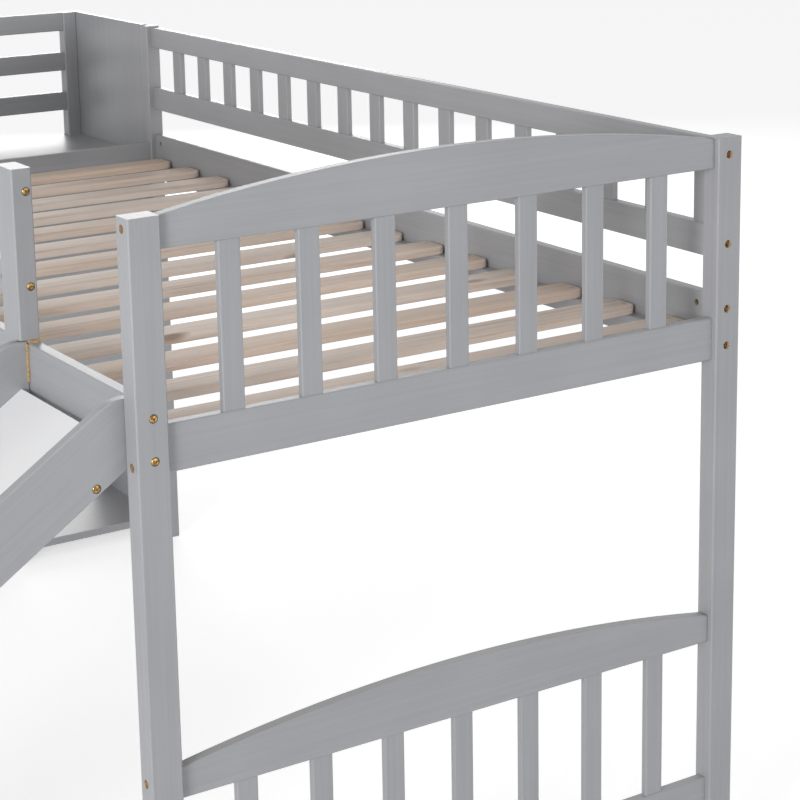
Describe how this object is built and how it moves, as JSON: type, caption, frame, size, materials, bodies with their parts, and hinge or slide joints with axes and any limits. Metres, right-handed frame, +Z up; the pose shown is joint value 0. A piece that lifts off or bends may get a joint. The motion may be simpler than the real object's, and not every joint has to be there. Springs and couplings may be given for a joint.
{
  "type": "loft bed",
  "caption": "Low loft bed of grey painted wood with arched, spindled foot panels, guard rails round a slatted deck, a slide beside the foot and storage stairs across the head.",
  "frame": {"origin": "on the floor, under the middle of the box round the whole bed, slide and stairs", "axes": "+Z up; +X from the slide's toe towards the back of the bed; +Y along the bed, from the arched foot end to the stairs"},
  "size_m": [2.49, 2.436, 1.2999],
  "materials": {
    "grey_paint": "semi-gloss paint",
    "pine": "planed, unpainted",
    "raw_wood": "sawn, unpainted",
    "white_panel": "smooth lacquer",
    "bronze": "antique"
  },
  "bodies": {
    "root": {"back_guard_low_rail": "grey_paint", "back_guard_spindles": "grey_paint", "back_guard_stile": "grey_paint", "back_guard_top_rail": "grey_paint", "foot_lower_arched_rail": "grey_paint", "foot_lower_bottom_rail": "grey_paint", "foot_lower_spindles": "grey_paint", "foot_panel_bolts": "bronze", "foot_post_back": "grey_paint", "foot_post_bolts": "bronze", "foot_post_front": "grey_paint", "foot_upper_arched_rail": "grey_paint", "foot_upper_bottom_rail": "grey_paint", "foot_upper_spindles": "grey_paint", "frame_cross_nuts": "bronze", "front_gate_post": "grey_paint", "front_guard_low_rail": "grey_paint", "front_guard_spindles": "grey_paint", "front_guard_top_rail": "grey_paint", "gate_post_bolts": "bronze", "gate_post_packer": "raw_wood", "head_gate_post": "grey_paint", "head_guard_low_rail": "grey_paint", "head_guard_spindles": "grey_paint", "head_guard_top_rail": "grey_paint", "head_panel_bolts": "bronze", "head_post_back": "grey_paint", "head_post_bolts": "bronze", "head_post_front": "grey_paint", "head_rail": "grey_paint", "railing_post_corner": "grey_paint", "railing_post_step": "grey_paint", "railing_rail_1": "grey_paint", "railing_rail_2": "grey_paint", "railing_rail_3": "grey_paint", "side_rail_back": "grey_paint", "side_rail_front": "grey_paint", "slat_ledger_back": "grey_paint", "slat_ledger_front": "grey_paint", "slats": "pine", "slide_board_far": "grey_paint", "slide_board_near": "grey_paint", "slide_bolts": "bronze", "slide_braces": "grey_paint", "slide_cross_nuts": "bronze", "slide_end_bolts": "bronze", "slide_packer_strip": "raw_wood", "slide_panel": "white_panel", "stair_back_board": "grey_paint", "stair_base_boards": "grey_paint", "stair_divider_1": "grey_paint", "stair_divider_2": "grey_paint", "stair_divider_3": "grey_paint", "stair_divider_4": "grey_paint", "stair_landing": "grey_paint", "stair_shelf": "grey_paint", "stair_side_board": "grey_paint", "stair_tread_1": "grey_paint", "stair_tread_2": "grey_paint", "stair_tread_3": "grey_paint"}
  },
  "joints": []
}
